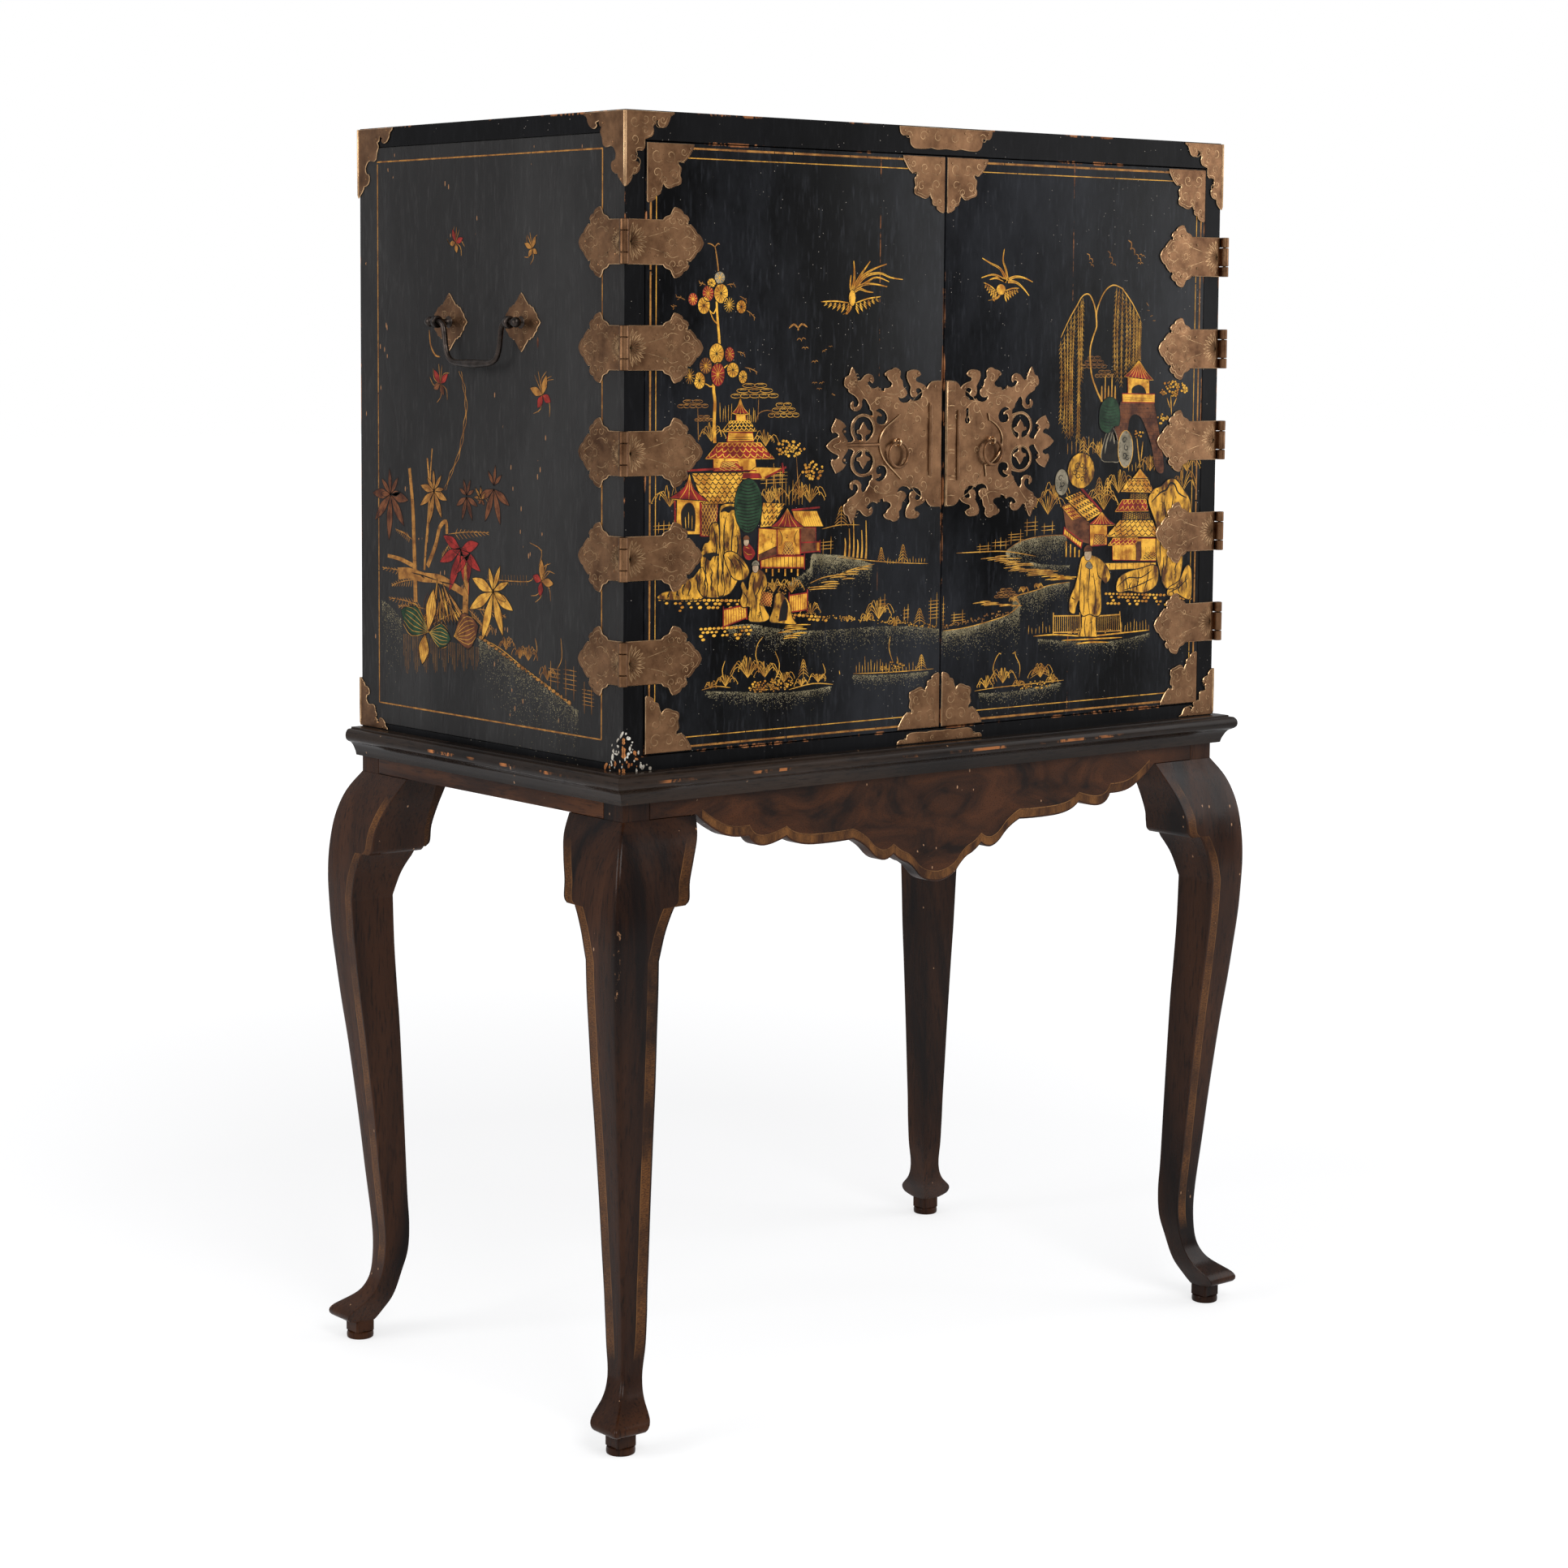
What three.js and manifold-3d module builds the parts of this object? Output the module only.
// Cabinet on stand: a two-door lacquered cabinet with brass mounts on a stand with cabriole legs.
// Millimetres, +Z up, the doors face -Y, and the origin is on the floor under the middle.
import * as THREE from 'three';
import { mergeVertices } from 'three/addons/utils/BufferGeometryUtils.js';
import Module from 'manifold-3d';

const wasm = await Module();
wasm.setup();

// Driving dimensions
const CABINET_WIDTH = 970;
const CABINET_DEPTH = 555;
const CABINET_HEIGHT = 754;
const STAND_HEIGHT = 790;
const GAP = 0.3;
const OVERRUN = 5;
const LAP = 1;

// Cabinet boards
const SIDE_THICKNESS = 28;
const TOP_THICKNESS = 33.5;
const BOTTOM_THICKNESS = 20.5;
const BACK_THICKNESS = 12;
const BACK_INSET = 3;
const CORNER_REBATE = 9;

// Doors
const DOOR_THICKNESS = 20;
const DOOR_GAP = 1.2;
const MEETING_GAP = 2;
const LOCK_CASE_WIDTH = 62;
const LOCK_CASE_HEIGHT = 88;
const LOCK_CASE_DEPTH = 9;

// Brass sheet and how far it is let into the wood
const SHEET = 1.6;
const SHEET_SEAT = 0.5;

// Hinges
const HINGES_PER_DOOR = 5;
const TOP_HINGE_DOWN = 112.8;
const LOW_HINGE_UP = 106.8;
const PIN_OFFSET = 4.5;
const PIN_RADIUS = 2.1;
const PIN_CLEARANCE = 0.6;
const KNUCKLE_RADIUS = 5.5;
const KNUCKLE_SIDES = 10;
const KNUCKLE_SHARE = 0.48;
const STRAP_HALF = 25.5;
const HEAD_HALF = 39.5;
const HEAD_LENGTH = 43.5;
const SIDE_LEAF_CUSP = 48.5;
const DOOR_LEAF_CUSP = 73;
const SHOULDER_LENGTH = 19;
const SHOULDER_TURN = 6;

// Corner mounts
const CAP_REACH = 69;
const CAP_DROP = 85;
const SIDE_CAP_REACH = 78;
const LOW_CAP_REACH = 62;
const LOW_CAP_RISE = 61;
const CAP_BEAD_RADIUS = 2.2;
const CAP_EDGE = 1;
const DOOR_PLATE_REACH = 68;
const CENTRE_MOUNT_WIDTH = 152;
const CENTRE_MOUNT_DROP = 26;

// Lock plates and their pulls
const LOCK_REACH = 177;
const LOCK_HALF_HEIGHT = 78;
const LOCK_DROP = 6;
const LOCK_EDGE = 2.4;
const LOCK_RELIEF = 2.2;
const LOCK_ROD_RADIUS = 2.9;
const KEYHOLE_RADIUS = 3;
const PULL_RADIUS = 15;
const PULL_WIRE = 2;
const PULL_REACH = 7;
const PULL_EYE_RADIUS = 5.2;
const PULL_EYE_WIDTH = 4;
const EYE_CLEARANCE = 0.7;

// Carrying handles
const BAIL_HEIGHT = 515;
const BAIL_HALF_SPAN = 76;
const BAIL_DROP = 49;
const BAIL_WIRE = 3.1;
const BAIL_GRIP = 4.4;
const BAIL_BALL = 6;
const BAIL_BALL_OUTSET = 15;
const BAIL_REACH = 19;
const BAIL_EYE_RADIUS = 7.4;
const BAIL_EYE_WIDTH = 6.5;
const BAIL_POST_RADIUS = 3.8;
const BAIL_PLATE_HALF_WIDTH = 39;
const BAIL_PLATE_HALF_HEIGHT = 35;

// Drawers and the nest that they run in
const DRAWER_ROWS = 4;
const DRAWER_RECESS = 21;
const NEST_UPRIGHT = 11;
const NEST_DIVIDER = 8;
const DRAWER_CLEARANCE = 1;
const DRAWER_FRONT = 12;
const DRAWER_SIDE = 8;
const DRAWER_BOTTOM = 6;
const NEST_BACK_SPACE = 1.3;
const DRAWER_BACK_SPACE = 12;
const KNOB_RADIUS = 6;
const KNOB_REACH = 13;

// Stand
const POST_WIDTH = 38;
const RAIL_THICKNESS = 20;
const RAIL_HEIGHT = 53.3;
const APRON_DROP = 116.7;
const MOULDING_HEIGHT = 36.3;
const MOULDING_LIP = 4;
const MOULDING_OUT = 25;
const MOULDING_FOOT_OUT = 9;
const KNEE_OUT = 34;
const LEG_INNER = 41.5;
const EAR_REACH = 105;
const EAR_THICKNESS = 45;
const PAD_WIDTH = 27;
const PAD_OFFSET = 4.3;
const DISC_RADIUS = 17;
const DISC_HEIGHT = 9;
const KNEE_ROUND = 4.2;
const ANKLE_ROUND = 1.6;

// Places that several pieces share
const HALF_WIDTH = CABINET_WIDTH / 2;
const HALF_DEPTH = CABINET_DEPTH / 2;
const CABINET_BASE = STAND_HEIGHT + GAP;
const CABINET_TOP = CABINET_BASE + CABINET_HEIGHT;
const OPENING_HALF = HALF_WIDTH - SIDE_THICKNESS;
const OPENING_BASE = CABINET_BASE + BOTTOM_THICKNESS;
const OPENING_TOP = CABINET_TOP - TOP_THICKNESS;
const DOOR_WIDTH = OPENING_HALF - DOOR_GAP - MEETING_GAP / 2;
const DOOR_HEIGHT = OPENING_TOP - OPENING_BASE - 2 * DOOR_GAP;
const DOOR_FACE = -HALF_DEPTH;
const TOP_HINGE = OPENING_TOP - DOOR_GAP - TOP_HINGE_DOWN;
const HINGE_PITCH = (DOOR_HEIGHT - TOP_HINGE_DOWN - LOW_HINGE_UP) / (HINGES_PER_DOOR - 1);
const LOCK_MIDDLE = CABINET_BASE + CABINET_HEIGHT / 2 - LOCK_DROP;
const RAIL_UNDERSIDE = STAND_HEIGHT - RAIL_HEIGHT;
const LEG_TOP = RAIL_UNDERSIDE - GAP;
const APRON_END = HALF_WIDTH - EAR_REACH - LAP;
const MOULDING_TOP = STAND_HEIGHT + MOULDING_LIP;
const MOULDING_UNDERSIDE = MOULDING_TOP - MOULDING_HEIGHT;
const PLATE_SEGMENTS = 2;
const FLATNESS = 0.02;
const ROD_SIDES = 8;
const EYE_SIDES = 10;
const DISC_SIDES = 16;
const LOCK_DISC_SIDES = 7;

// Finishes
const LACQUER = { color: 0x14141a, roughness: 0.35, metalness: 0 };
const INNER_WOOD = { color: 0x7a4a28, roughness: 0.6, metalness: 0 };
const WALNUT = { color: 0x33201a, roughness: 0.45, metalness: 0 };
const BRASS = { color: 0x7a583c, roughness: 0.45, metalness: 0.9 };
const IRON = { color: 0x2e2a28, roughness: 0.5, metalness: 0.8 };

// Solid helpers
function solid(geometry) {
  geometry.deleteAttribute('normal');
  geometry.deleteAttribute('uv');
  const merged = mergeVertices(geometry);
  const mesh = new wasm.Mesh({
    numProp: 3,
    vertProperties: new Float32Array(merged.attributes.position.array),
    triVerts: new Uint32Array(merged.index.array),
  });
  return new wasm.Manifold(mesh);
}

function geometryOf(manifold) {
  const { vertProperties, triVerts } = manifold.asOriginal().simplify(FLATNESS).getMesh();
  const geometry = new THREE.BufferGeometry();
  geometry.setAttribute('position', new THREE.BufferAttribute(vertProperties, 3));
  geometry.setIndex(new THREE.BufferAttribute(triVerts, 1));
  return geometry;
}

function joined(solids) {
  return solids.reduce((sum, next) => sum.add(next));
}

function moved(geometry, x, y, z) {
  return geometry.translate(x, y, z);
}

function facingOut(geometry) {
  const merged = geometry.index ? geometry : mergeVertices(geometry);
  const index = merged.index.array;
  for (let i = 0; i < index.length; i += 3) {
    [index[i], index[i + 1]] = [index[i + 1], index[i]];
  }
  return merged;
}

function mirrored(geometry, x, y, z) {
  const copy = geometry.clone().scale(x, y, z);
  return x * y * z < 0 ? facingOut(copy) : copy;
}

function box(x0, x1, y0, y1, z0, z1) {
  const geometry = new THREE.BoxGeometry(x1 - x0, y1 - y0, z1 - z0);
  return moved(geometry, (x0 + x1) / 2, (y0 + y1) / 2, (z0 + z1) / 2);
}

function extruded(shape, depth) {
  const geometry = new THREE.ExtrudeGeometry(shape, {
    depth,
    bevelEnabled: false,
    curveSegments: PLATE_SEGMENTS,
  });
  geometry.deleteAttribute('normal');
  geometry.deleteAttribute('uv');
  return mergeVertices(geometry);
}

// A sheet in the XZ plane whose back is at y and whose face looks along -Y
function frontSheet(shape, thickness, y) {
  return moved(extruded(shape, thickness).rotateX(Math.PI / 2), 0, y, 0);
}

// A sheet in the YZ plane, drawn with its first axis along +Y, whose face looks along -X
function sideSheet(shape, thickness, x) {
  const geometry = extruded(shape, thickness);
  const turn = new THREE.Matrix4().makeBasis(
    new THREE.Vector3(0, 1, 0),
    new THREE.Vector3(0, 0, 1),
    new THREE.Vector3(-1, 0, 0),
  );
  return moved(facingOut(geometry.applyMatrix4(turn)), x, 0, 0);
}

function cylinderZ(radius, z0, z1, x, y, sides) {
  const geometry = new THREE.CylinderGeometry(radius, radius, z1 - z0, sides).rotateX(Math.PI / 2);
  return moved(geometry, x, y, (z0 + z1) / 2);
}

function disc(x, y, radius, sides) {
  const points = [];
  for (let i = 0; i < sides; i += 1) {
    const angle = (2 * Math.PI * i) / sides;
    points.push(new THREE.Vector2(x + radius * Math.cos(angle), y + radius * Math.sin(angle)));
  }
  return new THREE.Shape(points);
}

function mesh(name, geometry, finish) {
  const part = new THREE.Mesh(geometry, new THREE.MeshStandardMaterial(finish));
  part.name = name;
  return part;
}

function scaledPoints(shares, width, height) {
  return shares.map(([x, y]) => new THREE.Vector2(x * width, y * height));
}

// An outline of bulging lobes: each entry is a control point and an end point
function lobes(shape, curves) {
  curves.forEach(([cx, cy, x, y]) => shape.quadraticCurveTo(cx, cy, x, y));
  return shape;
}

// A stroke that follows a spine of places and half widths
function ribbon(spine, steps) {
  const curve = new THREE.CatmullRomCurve3(spine.map(([x, y, w]) => new THREE.Vector3(x, y, w)));
  const left = [];
  const right = [];
  for (let i = 0; i <= steps; i += 1) {
    const point = curve.getPoint(i / steps);
    const along = curve.getTangent(i / steps);
    const across = new THREE.Vector2(-along.y, along.x).normalize();
    left.push(new THREE.Vector2(point.x + across.x * point.z, point.y + across.y * point.z));
    right.unshift(new THREE.Vector2(point.x - across.x * point.z, point.y - across.y * point.z));
  }
  return new THREE.Shape([...left, ...right]);
}

// Legs: one profile is sawn from two faces of the post, and the outer corner is rounded off
const kneeShares = [
  [0.0313, 0.56], [0.038, 0.93], [0.047, 1], [0.056, 0.88], [0.066, 0.6], [0.078, 0.28], [0.095, 0.03],
  [0.12, -0.13], [0.163, -0.19], [0.213, -0.15], [0.3, 0.02], [0.4, 0.21], [0.523, 0.47], [0.6, 0.66],
  [0.66, 0.79], [0.72, 0.91], [0.77, 0.97], [0.82, 1], [0.87, 0.95], [0.922, 0.79], [0.966, 0.48], [1, 0.03],
];
const innerShares = [
  [0.0313, 0.22], [0.046, 0.37], [0.077, 0.64], [0.12, 0.83], [0.159, 0.97], [0.205, 1], [0.26, 0.96],
  [0.38, 0.9], [0.547, 0.81], [0.62, 0.75], [0.7, 0.69], [0.785, 0.66],
];
const flareShares = [[0.823, 0.33], [0.85, 0.41], [0.867, 0.48]];
const earShares = [[0.868, 0.63], [0.876, 0.69], [0.904, 0.715], [0.938, 0.81], [0.97, 0.92], [1, 1]];

function legProfile() {
  const points = [];
  kneeShares.forEach(([z, out]) => points.push([out * KNEE_OUT, z * LEG_TOP]));
  points.push([0, LEG_TOP], [0, STAND_HEIGHT], [-POST_WIDTH, STAND_HEIGHT], [-POST_WIDTH, LEG_TOP]);
  [...earShares].reverse().forEach(([z, out]) => points.push([-out * EAR_REACH, z * LEG_TOP]));
  [...flareShares].reverse().forEach(([z, out]) => points.push([-out * EAR_REACH, z * LEG_TOP]));
  [...innerShares].reverse().forEach(([z, out]) => points.push([-out * LEG_INNER, z * LEG_TOP]));
  return new THREE.Shape(points.map(([out, z]) => new THREE.Vector2(out, z)));
}

function cornerProfile() {
  const points = [];
  kneeShares.forEach(([z, out]) => {
    const drop = ANKLE_ROUND + (KNEE_ROUND - ANKLE_ROUND) * Math.sin(Math.PI * z) * z;
    points.push([out * KNEE_OUT * Math.SQRT2 - drop, z * LEG_TOP]);
  });
  points.push([OVERRUN, LEG_TOP], [OVERRUN, STAND_HEIGHT + OVERRUN]);
  points.push([-2 * EAR_REACH, STAND_HEIGHT + OVERRUN], [-2 * EAR_REACH, 0]);
  points.push([KNEE_OUT, 0]);
  return new THREE.Shape(points.map(([out, z]) => new THREE.Vector2(out, z)));
}

// The leg stands with its outer corner towards +X and +Y, and the cabinet's corner is its origin
function legGeometry() {
  const reach = EAR_REACH + KNEE_OUT + OVERRUN;
  const sawnX = moved(extruded(legProfile(), 2 * reach).rotateX(Math.PI / 2), 0, reach, 0);
  const sawnY = facingOut(sawnX.clone().applyMatrix4(new THREE.Matrix4().makeBasis(
    new THREE.Vector3(0, 1, 0), new THREE.Vector3(1, 0, 0), new THREE.Vector3(0, 0, 1),
  )));
  const corner = moved(extruded(cornerProfile(), 2 * reach).rotateX(Math.PI / 2), 0, reach, 0);
  corner.rotateZ(Math.PI / 4);
  const flareTop = flareShares[flareShares.length - 1][0] * LEG_TOP;
  const inside = box(
    -2 * EAR_REACH, -EAR_THICKNESS, -2 * EAR_REACH, -EAR_THICKNESS, flareTop - EAR_THICKNESS, LEG_TOP + GAP / 2,
  );
  const shaft = solid(sawnX).intersect(solid(sawnY)).intersect(solid(corner)).subtract(solid(inside));
  const from = PAD_OFFSET - PAD_WIDTH / 2;
  const to = PAD_OFFSET + PAD_WIDTH / 2;
  const sole = kneeShares[0][0] * LEG_TOP;
  const pad = box(from, to, from, to, DISC_HEIGHT - LAP, sole + LAP);
  const foot = cylinderZ(DISC_RADIUS, 0, DISC_HEIGHT, PAD_OFFSET, PAD_OFFSET, DISC_SIDES);
  return geometryOf(joined([shaft, solid(pad), solid(foot)]));
}

function addLegs(group) {
  const leg = legGeometry();
  const places = [
    ['back_right_leg', 1, 1, 0], ['back_left_leg', -1, 1, 1],
    ['front_left_leg', -1, -1, 2], ['front_right_leg', 1, -1, 3],
  ];
  places.forEach(([name, x, y, quarter]) => {
    const part = mesh(name, leg.clone(), WALNUT);
    part.rotation.z = (quarter * Math.PI) / 2;
    part.position.set(x * HALF_WIDTH, y * HALF_DEPTH, 0);
    group.add(part);
  });
}

// Front rail with its shaped apron: half of the edge as lobes from the leg to the middle,
// across as shares of the half length and down as shares of the drop
const apronShares = [
  [0.955, 0.13, 0.913, 0.2], [0.87, 0.29, 0.79, 0.276], [0.77, 0.43, 0.7, 0.385], [0.665, 0.36, 0.64, 0.33],
  [0.61, 0.43, 0.53, 0.445], [0.44, 0.455, 0.365, 0.44], [0.32, 0.5, 0.295, 0.58], [0.24, 0.78, 0.192, 0.65],
  [0.16, 0.74, 0.135, 0.76], [0.11, 0.8, 0.085, 0.9], [0.055, 0.99, 0, 1],
];

function apronShape() {
  const half = HALF_WIDTH - POST_WIDTH - GAP;
  const shape = new THREE.Shape();
  shape.moveTo(-half, STAND_HEIGHT);
  shape.lineTo(-half, RAIL_UNDERSIDE);
  shape.lineTo(-APRON_END, RAIL_UNDERSIDE);
  const place = ([x, z]) => [x * APRON_END, RAIL_UNDERSIDE - z * APRON_DROP];
  apronShares.forEach(([cx, cz, x, z]) => {
    const [controlX, controlZ] = place([cx, cz]);
    const [endX, endZ] = place([x, z]);
    shape.quadraticCurveTo(-controlX, controlZ, -endX, endZ);
  });
  const ends = [[1, 0], ...apronShares.map(([, , x, z]) => [x, z])];
  for (let i = apronShares.length - 1; i >= 0; i -= 1) {
    const [controlX, controlZ] = place(apronShares[i]);
    const [endX, endZ] = place(ends[i]);
    shape.quadraticCurveTo(controlX, controlZ, endX, endZ);
  }
  shape.lineTo(half, RAIL_UNDERSIDE);
  shape.lineTo(half, STAND_HEIGHT);
  return shape;
}

function addRails(group) {
  const halfX = HALF_WIDTH - POST_WIDTH - GAP;
  const halfY = HALF_DEPTH - POST_WIDTH - GAP;
  const front = frontSheet(apronShape(), RAIL_THICKNESS, RAIL_THICKNESS - HALF_DEPTH);
  group.add(mesh('stand_front_rail', front, WALNUT));
  const back = box(-halfX, halfX, HALF_DEPTH - RAIL_THICKNESS, HALF_DEPTH, RAIL_UNDERSIDE, STAND_HEIGHT);
  group.add(mesh('stand_back_rail', back, WALNUT));
  const right = box(HALF_WIDTH - RAIL_THICKNESS, HALF_WIDTH, -halfY, halfY, RAIL_UNDERSIDE, STAND_HEIGHT);
  group.add(mesh('stand_right_rail', right, WALNUT));
  group.add(mesh('stand_left_rail', mirrored(right, -1, 1, 1), WALNUT));
}

// Moulding: a flat lip, a bead, a hollow and a fillet; out from the rail and up as shares
const hollowShares = [[0.4, 0.12], [0.46, 0.22], [0.56, 0.36], [0.68, 0.46]];
const beadShares = [[0.86, 0.52], [0.97, 0.6], [1, 0.72], [0.96, 0.84], [0.84, 0.93], [0.66, 0.94]];

function mouldingShape() {
  const points = [new THREE.Vector2(GAP, 0), new THREE.Vector2(MOULDING_FOOT_OUT, 0)];
  points.push(...scaledPoints(hollowShares, MOULDING_OUT, MOULDING_HEIGHT));
  points.push(...scaledPoints(beadShares, MOULDING_OUT, MOULDING_HEIGHT));
  const lipOut = beadShares[beadShares.length - 1][0] * MOULDING_OUT;
  points.push(new THREE.Vector2(lipOut, MOULDING_HEIGHT), new THREE.Vector2(GAP, MOULDING_HEIGHT));
  return new THREE.Shape(points);
}

// The profile runs along X; each end is cut at the mitre or square
function mouldingGeometry(startAt, startMitre, endAt, endMitre) {
  const geometry = extruded(mouldingShape(), OVERRUN);
  const position = geometry.attributes.position;
  for (let i = 0; i < position.count; i += 1) {
    const out = position.getX(i);
    const height = position.getY(i);
    const x = position.getZ(i) < OVERRUN / 2 ? startAt - startMitre * out : endAt + endMitre * out;
    position.setXYZ(i, x, -out, MOULDING_UNDERSIDE + height);
  }
  return facingOut(geometry);
}

function addMoulding(group) {
  const front = mouldingGeometry(-HALF_WIDTH, 1, HALF_WIDTH, 1);
  group.add(mesh('stand_moulding_front', moved(front, 0, -HALF_DEPTH, 0), WALNUT));
  const side = mouldingGeometry(-HALF_DEPTH, 0, HALF_DEPTH - GAP, 1);
  const left = moved(side.rotateZ(-Math.PI / 2), -HALF_WIDTH, 0, 0);
  group.add(mesh('stand_moulding_left', left, WALNUT));
  group.add(mesh('stand_moulding_right', mirrored(left, -1, 1, 1), WALNUT));
}

// Centre mount: a shallow brass plate with scrolled ends, drawn down from the cabinet's edge
const centreShares = [
  [0.98, 0.45, 0.87, 0.42], [0.8, 0.4, 0.78, 0.62], [0.74, 0.95, 0.6, 1], [0.3, 1.03, 0, 0.9],
];

function centreMountShape(width, drop, edge, direction) {
  const half = width / 2;
  const shape = new THREE.Shape();
  shape.moveTo(-half, edge);
  const right = centreShares.map(([cx, cz, x, z]) => [
    cx * half, edge + direction * cz * drop, x * half, edge + direction * z * drop,
  ]);
  lobes(shape, right.map(([cx, cz, x, z]) => [-cx, cz, -x, z]));
  const ends = [[half, edge], ...right.map(([, , x, z]) => [x, z])];
  for (let i = right.length - 1; i >= 0; i -= 1) {
    shape.quadraticCurveTo(right[i][0], right[i][1], ends[i][0], ends[i][1]);
  }
  return shape;
}

// Cabinet boards: the top and bottom boards lap over the sides, whose ends are rebated
function boardAcross(z0, z1, lapZ0, lapZ1) {
  const inner = HALF_WIDTH - SIDE_THICKNESS + CORNER_REBATE;
  const full = solid(box(-HALF_WIDTH, HALF_WIDTH, -HALF_DEPTH, HALF_DEPTH, z0, z1));
  const cutLeft = box(-HALF_WIDTH - OVERRUN, -inner, -HALF_DEPTH - OVERRUN, HALF_DEPTH + OVERRUN, lapZ0, lapZ1);
  return full.subtract(solid(cutLeft)).subtract(solid(mirrored(cutLeft, -1, 1, 1)));
}

function addBoards(group) {
  const topLap = OPENING_TOP + CORNER_REBATE;
  const top = boardAcross(OPENING_TOP, CABINET_TOP, OPENING_TOP - OVERRUN, topLap);
  const topMount = frontSheet(
    centreMountShape(CENTRE_MOUNT_WIDTH, CENTRE_MOUNT_DROP, CABINET_TOP - CAP_EDGE, -1),
    SHEET + SHEET_SEAT, SHEET_SEAT - HALF_DEPTH,
  );
  group.add(mesh('cabinet_top_board', geometryOf(top.add(solid(topMount))), LACQUER));

  const bottomLap = OPENING_BASE - CORNER_REBATE;
  const bottom = boardAcross(CABINET_BASE, OPENING_BASE, bottomLap, OPENING_BASE + OVERRUN);
  const mountEdge = MOULDING_TOP + CAP_EDGE;
  const lowMount = frontSheet(
    centreMountShape(CENTRE_MOUNT_WIDTH, OPENING_BASE - mountEdge - CAP_EDGE, mountEdge, 1),
    SHEET + SHEET_SEAT, SHEET_SEAT - HALF_DEPTH,
  );
  group.add(mesh('cabinet_bottom_board', geometryOf(bottom.add(solid(lowMount))), LACQUER));

  const left = sideBoard(bottomLap + GAP, topLap - GAP);
  group.add(mesh('cabinet_left_side', geometryOf(left), LACQUER));
  group.add(mesh('cabinet_right_side', mirrored(geometryOf(left), -1, 1, 1), LACQUER));

  const backHalf = OPENING_HALF - GAP;
  const backFace = HALF_DEPTH - BACK_INSET;
  const back = box(
    -backHalf, backHalf, backFace - BACK_THICKNESS, backFace, OPENING_BASE + GAP, OPENING_TOP - GAP,
  );
  group.add(mesh('cabinet_back_panel', back, INNER_WOOD));
}

// The left side board carries the handle's two scalloped plates and the eyes on their posts
const bailPlateShares = [[0.22, 0.86, 0.4, 0.52], [0.86, 0.4, 1, 0]];

function bailPlateShape(y) {
  const middle = CABINET_BASE + BAIL_HEIGHT;
  const place = ([x, z]) => [y + x * BAIL_PLATE_HALF_WIDTH, middle + z * BAIL_PLATE_HALF_HEIGHT];
  const shape = new THREE.Shape();
  shape.moveTo(...place([0, 1]));
  const quarters = [[1, 1, false], [1, -1, true], [-1, -1, false], [-1, 1, true]];
  quarters.forEach(([sx, sz, back]) => {
    const ends = [[0, 1], ...bailPlateShares.map(([, , x, z]) => [x, z])];
    const order = back ? [1, 0] : [0, 1];
    order.forEach((i) => {
      const end = back ? ends[i] : ends[i + 1];
      const control = bailPlateShares[i];
      shape.quadraticCurveTo(
        ...place([sx * control[0], sz * control[1]]), ...place([sx * end[0], sz * end[1]]),
      );
    });
  });
  return shape;
}

function bailPost(y) {
  const eyeX = -HALF_WIDTH - BAIL_REACH;
  const z = CABINET_BASE + BAIL_HEIGHT;
  const post = new THREE.CylinderGeometry(BAIL_POST_RADIUS, BAIL_POST_RADIUS, BAIL_REACH, ROD_SIDES);
  post.rotateZ(Math.PI / 2);
  const eye = new THREE.CylinderGeometry(BAIL_EYE_RADIUS, BAIL_EYE_RADIUS, BAIL_EYE_WIDTH, EYE_SIDES);
  const bore = BAIL_WIRE + EYE_CLEARANCE;
  const hole = new THREE.CylinderGeometry(bore, bore, BAIL_EYE_WIDTH + OVERRUN, EYE_SIDES);
  const lump = solid(moved(post, eyeX + BAIL_REACH / 2, y, z)).add(solid(moved(eye, eyeX, y, z)));
  return lump.subtract(solid(moved(hole, eyeX, y, z)));
}

function sideBoard(z0, z1) {
  const inner = -HALF_WIDTH + SIDE_THICKNESS;
  const board = solid(
    box(-HALF_WIDTH, inner, -HALF_DEPTH, HALF_DEPTH, OPENING_BASE + GAP, OPENING_TOP - GAP),
  );
  const tongueInner = inner - CORNER_REBATE - GAP;
  const tongue = solid(box(-HALF_WIDTH, tongueInner, -HALF_DEPTH, HALF_DEPTH, z0, z1));
  const pieces = [board, tongue];
  [-BAIL_HALF_SPAN, BAIL_HALF_SPAN].forEach((y) => {
    pieces.push(solid(sideSheet(bailPlateShape(y), SHEET + SHEET_SEAT, SHEET_SEAT - HALF_WIDTH)));
    pieces.push(bailPost(y));
  });
  return joined(pieces);
}

// Carrying handle: a swelling wire with ball ends, which hangs in its two eyes.
// Half of it, inward from the eye as shares of the ball's outset and down as shares of the drop
const bailShares = [[-1, 0], [0, 0], [0.43, 0], [1, 0.16], [1.2, 0.6], [1.7, 0.93], [3, 1]];

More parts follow.
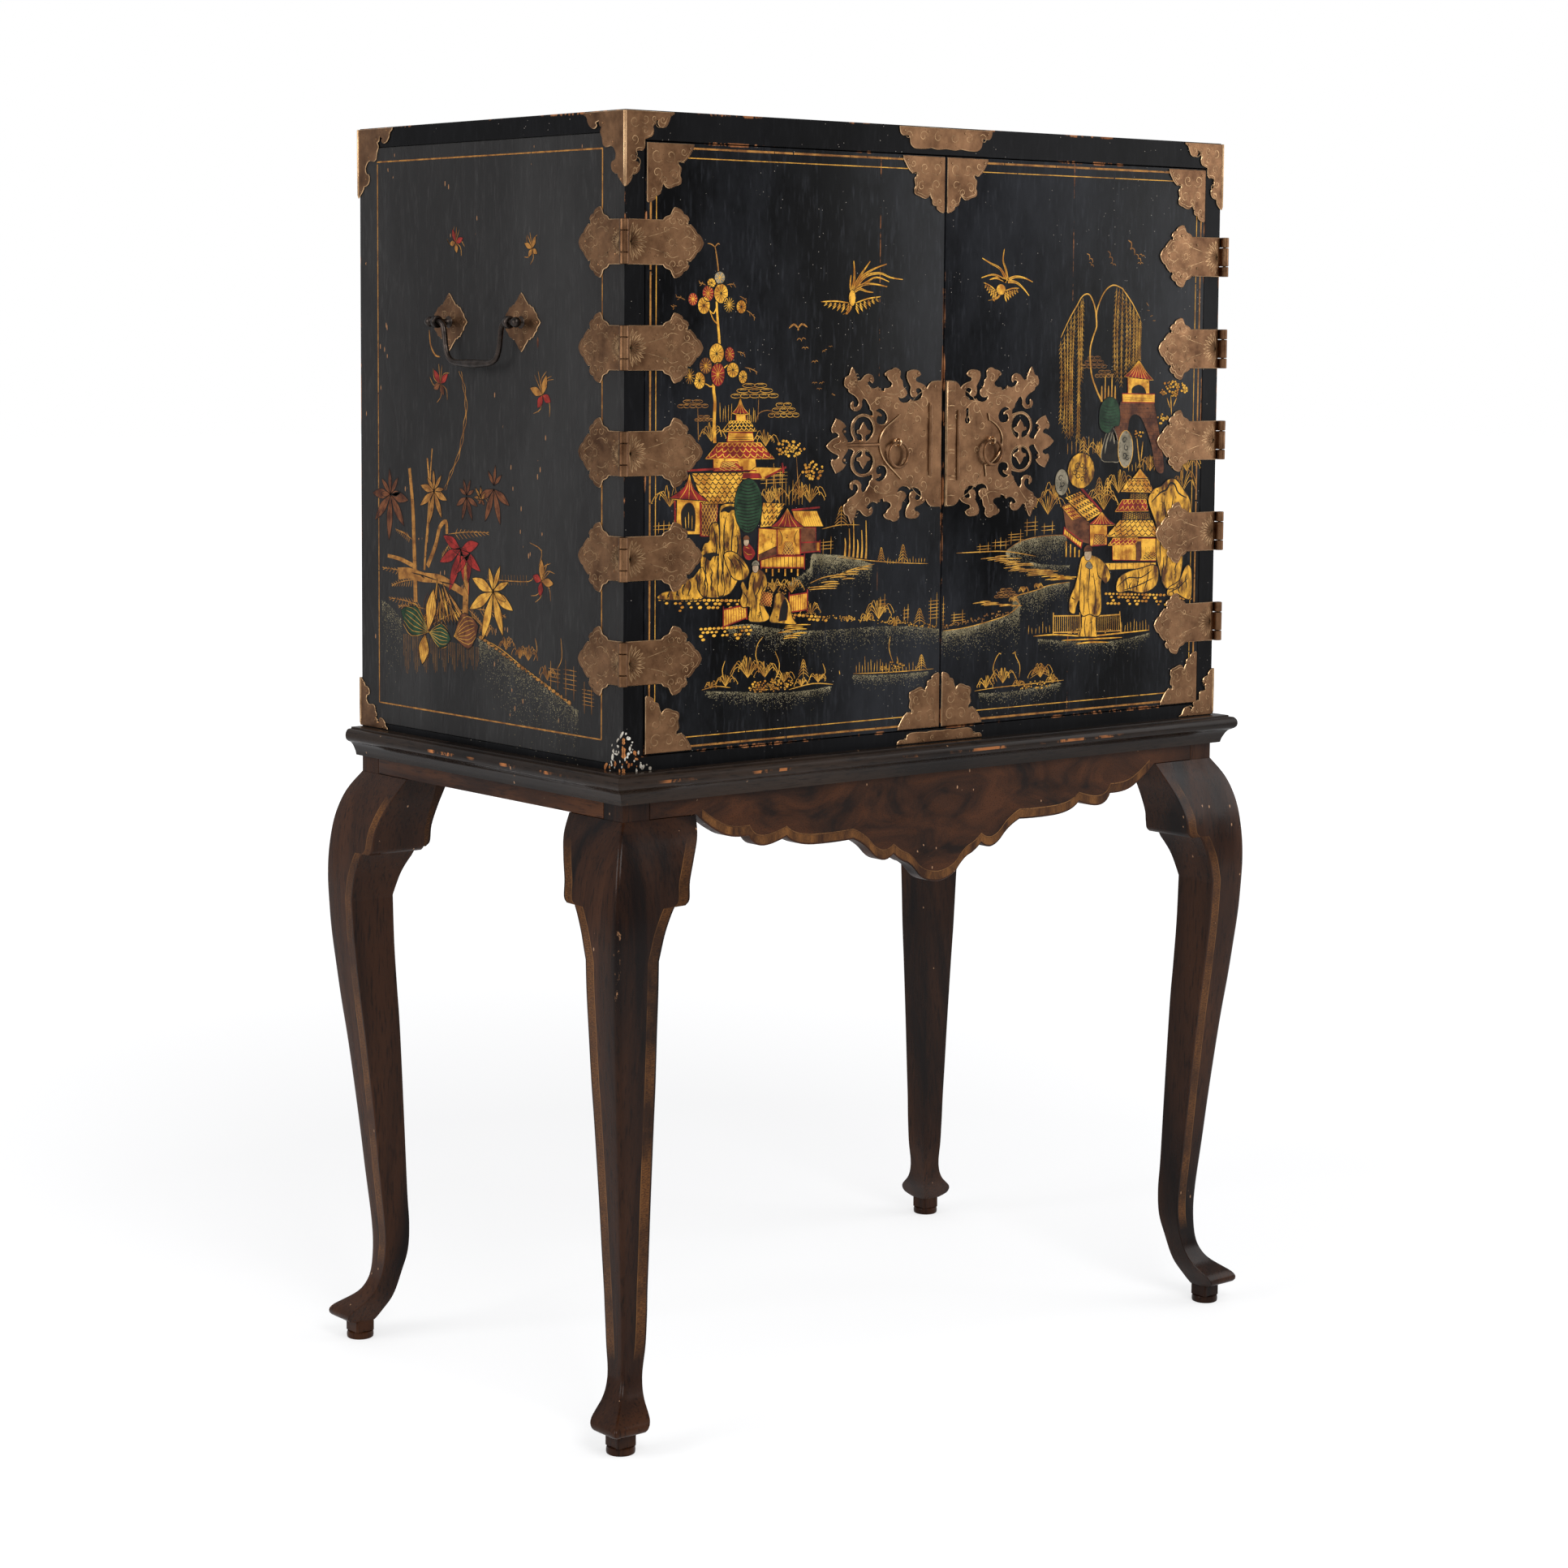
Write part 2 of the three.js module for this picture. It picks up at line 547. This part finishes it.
function bailGeometry() {
  const eye = BAIL_HALF_SPAN;
  const half = bailShares.map(([inward, down]) => [eye - inward * BAIL_BALL_OUTSET, -down * BAIL_DROP]);
  const points = half.map(([y, z]) => new THREE.Vector3(0, y, z));
  const rest = [...half].reverse().map(([y, z]) => new THREE.Vector3(0, -y, z));
  const path = new THREE.CatmullRomCurve3([...points, ...rest], false, 'centripetal');
  const wire = new THREE.ExtrudeGeometry(disc(0, 0, BAIL_WIRE, 6), {
    steps: 24, extrudePath: path, bevelEnabled: false,
  });
  const gripHalf = eye - BAIL_BALL_OUTSET * 2;
  const grip = new THREE.LatheGeometry([
    new THREE.Vector2(0, -gripHalf), new THREE.Vector2(BAIL_WIRE, -gripHalf),
    new THREE.Vector2(BAIL_GRIP, 0), new THREE.Vector2(BAIL_WIRE, gripHalf), new THREE.Vector2(0, gripHalf),
  ], 10);
  const pieces = [solid(wire), solid(moved(grip, 0, 0, -BAIL_DROP))];
  [-1, 1].forEach((end) => {
    const ball = new THREE.SphereGeometry(BAIL_BALL, 8, 5).rotateZ(Math.PI);
    pieces.push(solid(moved(ball, 0, end * (eye + BAIL_BALL_OUTSET), 0)));
  });
  return geometryOf(joined(pieces));
}

function addBails(group) {
  const bail = bailGeometry();
  [['left_bail_handle', -1], ['right_bail_handle', 1]].forEach(([name, side]) => {
    const part = mesh(name, bail.clone(), IRON);
    part.position.set(side * (HALF_WIDTH + BAIL_REACH), 0, CABINET_BASE + BAIL_HEIGHT);
    group.add(part);
  });
}

// Door corner plate: a scalloped triangle, half of it drawn and the other half its mirror
const doorPlateShares = [
  [1.02, 0.15, 0.9, 0.29], [0.84, 0.4, 0.68, 0.36], [0.76, 0.44, 0.72, 0.55], [0.74, 0.72, 0.71, 0.71],
];

function doorPlateShape(x, z, sx, sz) {
  const at = (a, b) => [x + sx * a * DOOR_PLATE_REACH, z - sz * b * DOOR_PLATE_REACH];
  const shape = new THREE.Shape();
  shape.moveTo(...at(0, 0));
  shape.lineTo(...at(1, 0));
  doorPlateShares.forEach(([ca, cb, a, b]) => shape.quadraticCurveTo(...at(ca, cb), ...at(a, b)));
  const ends = [[1, 0], ...doorPlateShares.map(([, , a, b]) => [a, b])];
  for (let i = doorPlateShares.length - 1; i >= 0; i -= 1) {
    const [ca, cb] = doorPlateShares[i];
    shape.quadraticCurveTo(...at(cb, ca), ...at(ends[i][1], ends[i][0]));
  }
  shape.lineTo(...at(0, 0));
  return shape;
}

function doorSolid() {
  const x0 = -OPENING_HALF + DOOR_GAP;
  const x1 = x0 + DOOR_WIDTH;
  const z0 = OPENING_BASE + DOOR_GAP;
  const z1 = z0 + DOOR_HEIGHT;
  const pieces = [solid(box(x0, x1, DOOR_FACE, DOOR_FACE + DOOR_THICKNESS, z0, z1))];
  const corners = [[x0, z1, 1, 1], [x1, z1, -1, 1], [x0, z0, 1, -1], [x1, z0, -1, -1]];
  corners.forEach(([x, z, sx, sz]) => {
    const shape = doorPlateShape(x + sx * CAP_EDGE, z - sz * CAP_EDGE, sx, sz);
    pieces.push(solid(frontSheet(shape, SHEET + SHEET_SEAT, DOOR_FACE + SHEET_SEAT)));
  });
  return joined(pieces);
}

function addDoors(group) {
  const left = doorSolid();
  group.add(mesh('left_door', geometryOf(left), LACQUER));
  const right = solid(mirrored(geometryOf(left), -1, 1, 1));
  const inner = DOOR_FACE + DOOR_THICKNESS;
  const x0 = MEETING_GAP / 2;
  const z0 = LOCK_MIDDLE - LOCK_CASE_HEIGHT / 2;
  const lockCase = box(
    x0 + CAP_EDGE, x0 + LOCK_CASE_WIDTH, inner - LAP, inner + LOCK_CASE_DEPTH, z0, z0 + LOCK_CASE_HEIGHT,
  );
  group.add(mesh('right_door', geometryOf(right.add(solid(lockCase))), LACQUER));
}

// Hinge leaf: strap, hollow shoulder and a head of lobes to a point with a nick, along and up
const headShares = [
  [0.2, 0.98, 0.29, 0.82], [0.52, 0.84, 0.56, 0.61], [0.51, 0.58, 0.46, 0.55], [0.7, 0.57, 0.79, 0.33],
  [0.96, 0.28, 1, 0],
];

// The outline starts at the pin line; the leaf's own knuckles reach the pin and the rest stays clear
function leafShape(cusp, ownMiddle) {
  const clear = KNUCKLE_RADIUS + 2 * GAP;
  const split = STRAP_HALF * KNUCKLE_SHARE;
  const shape = new THREE.Shape();
  const outer = ownMiddle ? clear : 0;
  const middle = ownMiddle ? 0 : clear;
  const edge = ownMiddle ? split - GAP : split + GAP;
  shape.moveTo(outer, -STRAP_HALF);
  shape.lineTo(cusp - SHOULDER_LENGTH, -STRAP_HALF);
  shape.quadraticCurveTo(cusp - SHOULDER_TURN, -STRAP_HALF, cusp, -HEAD_HALF);
  const at = (a, b) => [cusp + a * HEAD_LENGTH, b * HEAD_HALF];
  headShares.forEach(([ca, cb, a, b]) => shape.quadraticCurveTo(...at(ca, -cb), ...at(a, -b)));
  const ends = [[0, 1], ...headShares.map(([, , a, b]) => [a, b])];
  for (let i = headShares.length - 1; i >= 0; i -= 1) {
    const [ca, cb] = headShares[i];
    shape.quadraticCurveTo(...at(ca, cb), ...at(...ends[i]));
  }
  shape.quadraticCurveTo(cusp - SHOULDER_TURN, STRAP_HALF, cusp - SHOULDER_LENGTH, STRAP_HALF);
  shape.lineTo(outer, STRAP_HALF);
  shape.lineTo(outer, edge);
  shape.lineTo(middle, edge);
  shape.lineTo(middle, -edge);
  shape.lineTo(outer, -edge);
  return shape;
}

function knuckle(radius, z0, z1) {
  return solid(cylinderZ(radius, z0, z1, 0, 0, KNUCKLE_SIDES));
}

// Both leaves are drawn about the pin: the side leaf runs along +Y and the door leaf along +X
function sideLeafGeometry() {
  const split = STRAP_HALF * KNUCKLE_SHARE + GAP;
  const face = PIN_OFFSET - GAP;
  const sheet = solid(sideSheet(leafShape(SIDE_LEAF_CUSP, false), SHEET, face));
  const upper = knuckle(KNUCKLE_RADIUS, split, STRAP_HALF);
  const lower = knuckle(KNUCKLE_RADIUS, -STRAP_HALF, -split);
  const pin = knuckle(PIN_RADIUS, -STRAP_HALF, STRAP_HALF);
  return geometryOf(joined([sheet, upper, lower, pin]));
}

function doorLeafGeometry() {
  const split = STRAP_HALF * KNUCKLE_SHARE - GAP;
  const face = PIN_OFFSET - GAP;
  const sheet = solid(frontSheet(leafShape(DOOR_LEAF_CUSP, true), SHEET, face));
  const barrel = knuckle(KNUCKLE_RADIUS, -split, split);
  const bore = knuckle(PIN_RADIUS + PIN_CLEARANCE, -split - OVERRUN, split + OVERRUN);
  return geometryOf(joined([sheet, barrel]).subtract(bore));
}

function addHinges(group) {
  const leaves = [['side_leaf', sideLeafGeometry()], ['door_leaf', doorLeafGeometry()]];
  for (let i = 0; i < HINGES_PER_DOOR; i += 1) {
    const z = TOP_HINGE - i * HINGE_PITCH;
    leaves.forEach(([kind, geometry]) => {
      [['left', -1], ['right', 1]].forEach(([side, sign]) => {
        const leaf = sign < 0 ? geometry.clone() : mirrored(geometry, -1, 1, 1);
        const part = mesh(`${side}_hinge_${i + 1}_${kind}`, leaf, BRASS);
        part.position.set(sign * (HALF_WIDTH + PIN_OFFSET), -HALF_DEPTH - PIN_OFFSET, z);
        group.add(part);
      });
    });
  }
}

// Corner cap sheets: along the edge and down the corner as shares, ending in a lobed point.
// The front sheet steps round the corner of the door opening.
const capTipShares = [
  [1, 0.17, 0.88, 0.2], [0.76, 0.27, 0.68, 0.22], [0.63, 0.14, 0.56, 0.24],
];
const capTailShares = [
  [0.2, 0.54, 0.16, 0.64], [0.16, 0.66, 0.22, 0.7], [0.32, 0.76, 0.22, 0.84], [0.13, 0.88, 0.12, 0.93],
  [0.08, 0.97, 0, 1],
];
const capStepShares = { outer: 0.55, lower: 0.5 };
const sideStepShares = { reach: 0.34, drop: 0.44 };

function capShape(reach, drop, stepX, stepZ) {
  const shape = new THREE.Shape();
  const scaled = (shares) => shares.map(([cx, cz, x, z]) => [cx * reach, -cz * drop, x * reach, -z * drop]);
  shape.moveTo(0, 0);
  shape.lineTo(reach, 0);
  lobes(shape, scaled(capTipShares));
  shape.lineTo(capStepShares.outer * reach, -stepZ);
  shape.lineTo(stepX, -stepZ);
  shape.lineTo(stepX, -capStepShares.lower * drop);
  return lobes(shape, scaled(capTailShares));
}

function sideCapShape(reach, drop) {
  return capShape(reach, drop, sideStepShares.reach * reach, sideStepShares.drop * drop);
}

// Caps are drawn at a corner whose faces meet at the origin and look along -X and -Y
function capGeometry(frontShape, sideShape, drop) {
  const pieces = [solid(sideSheet(sideShape, SHEET, -GAP))];
  if (frontShape) pieces.push(solid(frontSheet(frontShape, SHEET, -GAP)));
  const out = GAP + SHEET / 2;
  const bead = solid(cylinderZ(CAP_BEAD_RADIUS, -drop, 0, -out, -out, ROD_SIDES));
  const wood = solid(box(-GAP, drop, -GAP, drop, -drop - OVERRUN, OVERRUN));
  return geometryOf(joined([...pieces, bead]).subtract(wood));
}

function addCaps(group) {
  const frontShape = capShape(CAP_REACH, CAP_DROP, SIDE_THICKNESS - CAP_EDGE, TOP_THICKNESS - 2 * CAP_EDGE);
  const sideShape = sideCapShape(SIDE_CAP_REACH, CAP_DROP);
  const front = capGeometry(frontShape, sideShape, CAP_DROP);
  const back = capGeometry(null, sideShape, CAP_DROP);
  const z = CABINET_TOP - CAP_EDGE;
  const lowStepZ = OPENING_BASE - MOULDING_TOP - 2 * CAP_EDGE;
  const lowFront = capShape(LOW_CAP_REACH, LOW_CAP_RISE, SIDE_THICKNESS - CAP_EDGE, lowStepZ);
  const lowSide = sideCapShape(LOW_CAP_REACH, LOW_CAP_RISE);
  const lowCorner = mirrored(capGeometry(lowFront, lowSide, LOW_CAP_RISE), 1, 1, -1);
  const lowBack = mirrored(capGeometry(null, lowSide, LOW_CAP_RISE), 1, 1, -1);
  const lowZ = MOULDING_TOP + CAP_EDGE;
  const places = [
    ['top_corner_cap_front_left', front, 1, 1, z], ['top_corner_cap_front_right', front, -1, 1, z],
    ['top_corner_cap_back_left', back, 1, -1, z], ['top_corner_cap_back_right', back, -1, -1, z],
    ['base_corner_cap_front_right', lowCorner, -1, 1, lowZ],
    ['base_corner_cap_back_left', lowBack, 1, -1, lowZ], ['base_corner_cap_back_right', lowBack, -1, -1, lowZ],
  ];
  places.forEach(([name, geometry, sx, sy, height]) => {
    const part = mesh(name, mirrored(geometry, sx, sy, 1), BRASS);
    part.position.set(-sx * HALF_WIDTH, -sy * HALF_DEPTH, height);
    group.add(part);
  });
}

// Lock plate: places are shares of the reach, outward from the meeting edge and up from the middle
const lockBodyShares = [
  [0.045, 0.44, 0.08, 0.4], [0.11, 0.4, 0.12, 0.34], [0.15, 0.26, 0.22, 0.28], [0.3, 0.33, 0.4, 0.28],
  [0.43, 0.27, 0.45, 0.22], [0.53, 0.14, 0.535, 0],
];
const lockFingerShares = [
  [[0.15, 0.27, 0.03], [0.18, 0.35, 0.026], [0.21, 0.43, 0.026], [0.215, 0.49, 0.02]],
  [[0.42, 0.26, 0.045], [0.4, 0.35, 0.036], [0.38, 0.42, 0.03], [0.41, 0.485, 0.028]],
  [[0.44, 0.22, 0.05], [0.57, 0.31, 0.04], [0.7, 0.37, 0.04], [0.78, 0.45, 0.03], [0.775, 0.535, 0.008]],
  [[0.2, 0.47, 0.024], [0.17, 0.495, 0.018], [0.15, 0.49, 0.008]],
  [[0.4, 0.47, 0.026], [0.44, 0.495, 0.02], [0.475, 0.485, 0.01]],
];
const lockCurlShares = [
  [[0.13, 0.36, 0.016], [0.15, 0.305, 0.016], [0.2, 0.28, 0.015], [0.25, 0.31, 0.014], [0.245, 0.35, 0.013]],
  [[0.34, 0.27, 0.016], [0.3, 0.29, 0.016], [0.285, 0.33, 0.02], [0.31, 0.36, 0.018]],
  [[0.69, 0.36, 0.018], [0.68, 0.3, 0.016], [0.72, 0.25, 0.015], [0.765, 0.265, 0.013], [0.77, 0.3, 0.012]],
  [[0.63, 0.35, 0.018], [0.6, 0.41, 0.016], [0.61, 0.46, 0.014], [0.65, 0.465, 0.012]],
  [[0.47, 0.18, 0.016], [0.51, 0.225, 0.015], [0.56, 0.235, 0.014], [0.585, 0.2, 0.014], [0.57, 0.17, 0.016]],
];
const lockFleurShares = [[0.667, 0, 0.014], [0.667, 0.07, 0.012], [0.667, 0.11, 0.024], [0.667, 0.165, 0.004]];
const lockTerminalShares = [[0.88, 0.03, 0.024], [0.885, 0.1, 0.018], [0.89, 0.175, 0.004]];
const LOCK_DIAMOND_SHARE = 0.8;
const lockDiamondShares = [[0.83, 0.07, 0.885, 0.075], [0.93, 0.06, 1, 0]];
const lockDiscShares = [
  [0.215, 0.475, 0.032], [0.405, 0.48, 0.036], [0.3, 0.355, 0.026], [0.643, 0.092, 0.018],
  [0.691, 0.092, 0.018], [0.864, 0.115, 0.022], [0.908, 0.112, 0.022], [0.765, 0.46, 0.034],
];
const LOCK_RING_PLACE_SHARE = 0.667;
const LOCK_RING_SHARE = 0.116;
const LOCK_RING_HOLE_SHARE = 0.09;
const lockBarShares = { half: 0.019, from: 0.5, to: 0.85 };

function lockSheet(shape, thickness) {
  return solid(extruded(shape, thickness));
}

function lockStrokes(spines, up, steps) {
  return spines.map((spine) => lockSheet(ribbon(lockSpine(spine, up), steps), SHEET));
}

function lockSpine(shares, up) {
  return shares.map(([a, h, w]) => [a * LOCK_REACH, up * h * LOCK_REACH, w * LOCK_REACH]);
}

function lockBodyShape() {
  const shape = new THREE.Shape();
  const at = (a, h) => [a * LOCK_REACH, h * LOCK_REACH];
  shape.moveTo(0, -LOCK_HALF_HEIGHT);
  lockBodyShares.forEach(([ca, ch, a, h]) => shape.quadraticCurveTo(...at(ca, -ch), ...at(a, -h)));
  const ends = [[0, LOCK_HALF_HEIGHT / LOCK_REACH], ...lockBodyShares.map(([, , a, h]) => [a, h])];
  for (let i = lockBodyShares.length - 1; i >= 0; i -= 1) {
    shape.quadraticCurveTo(...at(lockBodyShares[i][0], lockBodyShares[i][1]), ...at(...ends[i]));
  }
  return shape;
}

// One half of the pierced ornament, above the middle line or below it
function lockOrnament(up) {
  const place = (share) => share * LOCK_REACH;
  const discs = lockDiscShares.map(([a, h, r]) => (
    lockSheet(disc(place(a), up * place(h), place(r), LOCK_DISC_SIDES), SHEET)
  ));
  const ringX = place(LOCK_RING_PLACE_SHARE);
  const ringZ = up * place(LOCK_RING_SHARE - lockBarShares.half / 2);
  const ring = lockSheet(disc(ringX, ringZ, place(LOCK_RING_SHARE), DISC_SIDES), SHEET);
  const hole = lockSheet(disc(ringX, ringZ, place(LOCK_RING_HOLE_SHARE), DISC_SIDES), SHEET + 2 * OVERRUN);
  const rim = joined([ring, ...lockStrokes(lockCurlShares, up, 5)]);
  const around = rim.subtract(hole.translate([0, 0, -OVERRUN]));
  const inside = lockStrokes([lockFleurShares, lockTerminalShares], up, 5);
  return joined([around, ...inside, ...lockStrokes(lockFingerShares, up, 4), ...discs]);
}

function lockBar(x0, x1, half) {
  return lockSheet(new THREE.Shape([
    new THREE.Vector2(x0, -half), new THREE.Vector2(x1, -half),
    new THREE.Vector2(x1, half), new THREE.Vector2(x0, half),
  ]), SHEET);
}

function lockDiamond() {
  const at = (a, h) => [a * LOCK_REACH, h * LOCK_REACH];
  const shape = new THREE.Shape();
  const [[rootA, rootH, a, h], [tipA, tipH]] = lockDiamondShares;
  shape.moveTo(...at(LOCK_DIAMOND_SHARE, 0));
  lockDiamondShares.forEach(([ca, ch, ea, eh]) => shape.quadraticCurveTo(...at(ca, -ch), ...at(ea, -eh)));
  shape.quadraticCurveTo(...at(tipA, tipH), ...at(a, h));
  shape.quadraticCurveTo(...at(rootA, rootH), ...at(LOCK_DIAMOND_SHARE, 0));
  return lockSheet(shape, SHEET);
}

const PULL_EYE_SHARE = 0.42;
const PULL_EYE_RISE = 3;
const crescentShares = [
  [0.36, 0.2, 0.004], [0.42, 0.15, 0.022], [0.48, 0.08, 0.026], [0.5, 0, 0.026],
  [0.47, -0.1, 0.024], [0.41, -0.17, 0.02], [0.34, -0.235, 0.004],
];
const lockRodShares = { place: 0.083, half: 0.25, from: 0.49, to: 0.9 };
const keyholeShares = { place: 0.204, rise: 0.16, length: 0.075 };

// The ring's eye: a lug on the plate, bored along the plate
function pullEye() {
  const x = PULL_EYE_SHARE * LOCK_REACH;
  const lug = box(
    x - PULL_EYE_WIDTH / 2, x + PULL_EYE_WIDTH / 2,
    PULL_EYE_RISE - PULL_EYE_RADIUS, PULL_EYE_RISE + PULL_EYE_RADIUS, SHEET / 2, PULL_REACH,
  );
  const bore = PULL_WIRE + EYE_CLEARANCE;
  const cap = new THREE.CylinderGeometry(PULL_EYE_RADIUS, PULL_EYE_RADIUS, PULL_EYE_WIDTH, EYE_SIDES);
  const hole = new THREE.CylinderGeometry(bore, bore, PULL_EYE_WIDTH + OVERRUN, EYE_SIDES);
  const [round, opening] = [cap, hole].map((part) => (
    solid(moved(part.rotateZ(Math.PI / 2), x, PULL_EYE_RISE, PULL_REACH))
  ));
  return [solid(lug).add(round), opening];
}

function rod(x0, y0, x1, y1, radius) {
  const length = Math.hypot(x1 - x0, y1 - y0);
  const geometry = new THREE.CylinderGeometry(radius, radius, length, ROD_SIDES);
  geometry.rotateZ(Math.atan2(y1 - y0, x1 - x0) - Math.PI / 2);
  return solid(moved(geometry, (x0 + x1) / 2, (y0 + y1) / 2, SHEET)).subtract(
    solid(box(-LOCK_REACH, 2 * LOCK_REACH, -LOCK_REACH, LOCK_REACH, -LOCK_REACH, SHEET / 2)),
  );
}

// Drawn with its back on the XY plane, the meeting edge at x = 0 and the ornament towards +X
function lockPlate(withKeyhole) {
  const pieces = [lockSheet(lockBodyShape(), SHEET), lockOrnament(1), lockOrnament(-1), lockDiamond()];
  const [from, to, half] = [lockBarShares.from, lockBarShares.to, lockBarShares.half];
  pieces.push(lockBar(from * LOCK_REACH, to * LOCK_REACH, half * LOCK_REACH));
  pieces.push(lockSheet(ribbon(lockSpine(crescentShares, 1), 10), LOCK_RELIEF + SHEET));
  const rodX = lockRodShares.place * LOCK_REACH;
  const rodHalf = lockRodShares.half * LOCK_REACH;
  const [eye, bore] = pullEye();
  pieces.push(eye);
  if (withKeyhole) {
    const relief = LOCK_RELIEF + SHEET;
    const strip = box(0, rodX - LOCK_ROD_RADIUS, -LOCK_HALF_HEIGHT, LOCK_HALF_HEIGHT, SHEET / 2, relief);
    const thinX = rodX + LOCK_ROD_RADIUS;
    pieces.push(solid(strip), rod(thinX, -rodHalf, thinX, rodHalf, LOCK_ROD_RADIUS));
    const x = keyholeShares.place * LOCK_REACH;
    const z = keyholeShares.rise * LOCK_REACH;
    const length = keyholeShares.length * LOCK_REACH;
    const round = cylinderZ(KEYHOLE_RADIUS, -LOCK_REACH, LOCK_REACH, x, z, KNUCKLE_SIDES);
    const slot = box(x - KEYHOLE_RADIUS / 2, x + KEYHOLE_RADIUS / 2, z, z + length, -LOCK_REACH, LOCK_REACH);
    return joined(pieces).subtract(bore).subtract(solid(round)).subtract(solid(slot));
  }
  pieces.push(rod(rodX, -rodHalf, rodX, rodHalf, LOCK_ROD_RADIUS));
  pieces.push(rod(lockRodShares.from * LOCK_REACH, 0, lockRodShares.to * LOCK_REACH, 0, LOCK_ROD_RADIUS));
  return joined(pieces).subtract(bore);
}

function addLockPlates(group) {
  const ring = new THREE.TorusGeometry(PULL_RADIUS, PULL_WIRE, 6, 18).rotateX(Math.PI / 2);
  moved(ring, 0, 0, -PULL_RADIUS);
  [['left', -1], ['right', 1]].forEach(([side, sign]) => {
    const drawn = geometryOf(lockPlate(sign > 0)).rotateX(Math.PI / 2);
    const part = mesh(`${side}_lock_plate`, sign < 0 ? mirrored(drawn, -1, 1, 1) : drawn, BRASS);
    part.position.set(sign * (MEETING_GAP / 2 + LOCK_EDGE), DOOR_FACE - GAP, LOCK_MIDDLE);
    group.add(part);
    const pull = mesh(`${side}_ring_pull`, geometryOf(solid(ring.clone())), BRASS);
    const eyeX = MEETING_GAP / 2 + LOCK_EDGE + PULL_EYE_SHARE * LOCK_REACH;
    pull.position.set(sign * eyeX, DOOR_FACE - GAP - PULL_REACH, LOCK_MIDDLE + PULL_EYE_RISE);
    group.add(pull);
  });
}

// Drawer rows are deeper towards the bottom
const rowShares = [0.28, 0.26, 0.24, 0.22];

function drawerBays() {
  const nestHalf = OPENING_HALF - GAP;
  const base = OPENING_BASE + GAP;
  const height = OPENING_TOP - OPENING_BASE - 2 * GAP;
  const clear = height - (DRAWER_ROWS + 1) * NEST_DIVIDER;
  const bays = [];
  let z = base + NEST_DIVIDER;
  rowShares.forEach((share) => {
    const top = z + share * clear;
    bays.push({ x0: NEST_UPRIGHT / 2, x1: nestHalf - NEST_UPRIGHT, z0: z, z1: top });
    z = top + NEST_DIVIDER;
  });
  return bays;
}

function addNest(group) {
  const front = DOOR_FACE + DOOR_THICKNESS + DRAWER_RECESS;
  const back = HALF_DEPTH - BACK_INSET - BACK_THICKNESS - NEST_BACK_SPACE;
  const half = OPENING_HALF - GAP;
  let nest = solid(box(-half, half, front, back, OPENING_BASE + GAP, OPENING_TOP - GAP));
  drawerBays().forEach(({ x0, x1, z0, z1 }) => {
    const bay = box(x0, x1, front - OVERRUN, back + OVERRUN, z0, z1);
    nest = nest.subtract(solid(bay)).subtract(solid(mirrored(bay, -1, 1, 1)));
  });
  group.add(mesh('drawer_nest', geometryOf(nest), INNER_WOOD));
}

// The knob's outline, across and out; it starts a little inside the drawer's front
const knobShares = [[0, -0.08], [0.5, -0.08], [0.4, 0.5], [1, 0.75], [0.6, 1], [0, 1]];

function drawerGeometry({ x0, x1, z0, z1 }) {
  const front = DOOR_FACE + DOOR_THICKNESS + DRAWER_RECESS;
  const back = HALF_DEPTH - BACK_INSET - BACK_THICKNESS - DRAWER_BACK_SPACE;
  const left = x0 + DRAWER_CLEARANCE;
  const right = x1 - DRAWER_CLEARANCE;
  const base = z0 + GAP;
  const top = z1 - DRAWER_CLEARANCE;
  const block = solid(box(left, right, front, back, base, top));
  const inside = box(
    left + DRAWER_SIDE, right - DRAWER_SIDE, front + DRAWER_FRONT, back - DRAWER_SIDE,
    base + DRAWER_BOTTOM, top + OVERRUN,
  );
  const knob = new THREE.LatheGeometry(scaledPoints(knobShares, KNOB_RADIUS, KNOB_REACH), ROD_SIDES);
  moved(knob.rotateX(Math.PI), (left + right) / 2, front, (base + top) / 2);
  return geometryOf(block.subtract(solid(inside)).add(solid(knob)));
}

function addDrawers(group) {
  drawerBays().forEach((bay, row) => {
    const left = mirrored(drawerGeometry(bay), -1, 1, 1);
    group.add(mesh(`left_drawer_${row + 1}`, left, INNER_WOOD));
    group.add(mesh(`right_drawer_${row + 1}`, moved(left.clone(), bay.x0 + bay.x1, 0, 0), INNER_WOOD));
  });
}

const cabinet = new THREE.Group();
cabinet.name = 'cabinet_on_stand';
addLegs(cabinet);
addRails(cabinet);
addMoulding(cabinet);
addBoards(cabinet);
addNest(cabinet);
addDrawers(cabinet);
addDoors(cabinet);
addHinges(cabinet);
addLockPlates(cabinet);
addBails(cabinet);
addCaps(cabinet);

export default cabinet;
